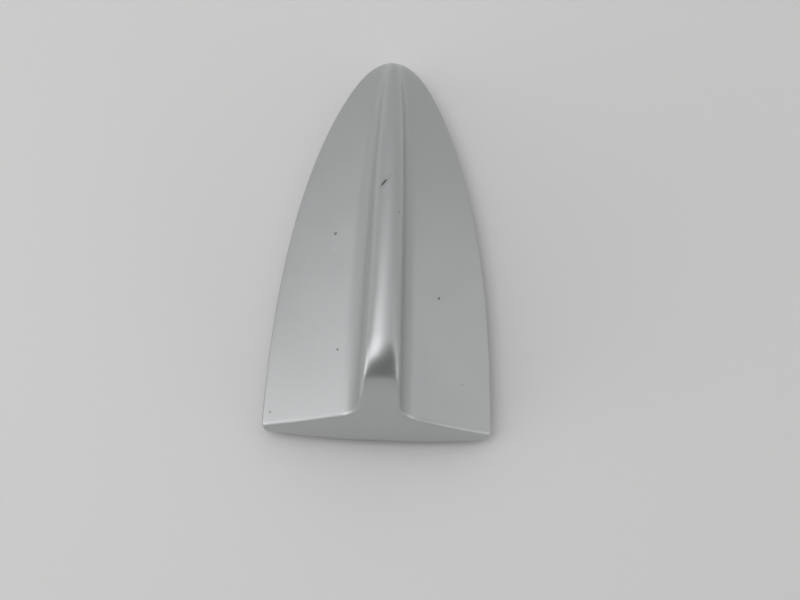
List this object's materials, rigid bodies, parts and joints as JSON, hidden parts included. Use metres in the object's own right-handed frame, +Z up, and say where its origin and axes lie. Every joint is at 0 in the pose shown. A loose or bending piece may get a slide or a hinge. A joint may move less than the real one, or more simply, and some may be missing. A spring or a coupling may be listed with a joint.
{
  "type": "roof antenna",
  "caption": "Fin-shaped vehicle roof antenna: painted cover with a rolled crest over a sealed base plate, with boards, patch and blade antennas inside and a spigot with sockets below.",
  "frame": {"origin": "under the middle of the length and width, on the plane of the flat underside of the spigot, on which the part rests", "axes": "X across, +Y along the part to the nose, +Z up through the cover"},
  "size_m": [0.082, 0.152, 0.0549],
  "materials": {
    "silver_paint": "light silver metallic paint under clear coat, soft reflections, a few dark specks and one short scratch",
    "seal_rubber": "matt black rubber",
    "cast_alloy": "die cast alloy, finely grained",
    "insert_brass": "turned brass",
    "screw_steel": "zinc plated steel",
    "board_laminate": "green circuit board with solder resist",
    "patch_ceramic": "unglazed light brown ceramic",
    "tape_foam": "white double sided foam tape",
    "tinned_steel": "bright tinned sheet",
    "black_moulding": "black moulded plastic",
    "coil_copper": "enamelled copper winding",
    "capacitor_ceramic": "brown fired ceramic",
    "grey_foam": "dark grey soft foam",
    "socket_red": "dark red moulded plastic",
    "socket_blue": "blue moulded plastic",
    "socket_beige": "beige moulded plastic",
    "contact_gold": "gold plated brass",
    "white_insulator": "white insulating plastic",
    "spring_steel": "spring steel strip"
  },
  "bodies": {
    "root": {"cover": "silver_paint", "roof_seal": "seal_rubber", "base_plate": "cast_alloy", "fixing_insert": "insert_brass", "cover_screws": "screw_steel", "main_board": "board_laminate", "board_screws": "screw_steel", "patch_antenna": "patch_ceramic", "patch_tape": "tape_foam", "patch_pin": "tinned_steel", "shield_frame": "tinned_steel", "shield_lid": "tinned_steel", "amplifier_chips": "black_moulding", "filter_blocks": "patch_ceramic", "coils": "coil_copper", "capacitors": "capacitor_ceramic", "phone_blade": "board_laminate", "blade_carrier": "black_moulding", "blade_contacts": "tinned_steel", "foam_pads": "grey_foam", "socket_phone": "socket_red", "socket_navigation": "socket_blue", "socket_radio": "socket_beige", "socket_shells": "contact_gold", "socket_insulators": "white_insulator", "socket_pins": "contact_gold", "retaining_clips": "spring_steel"}
  },
  "joints": []
}
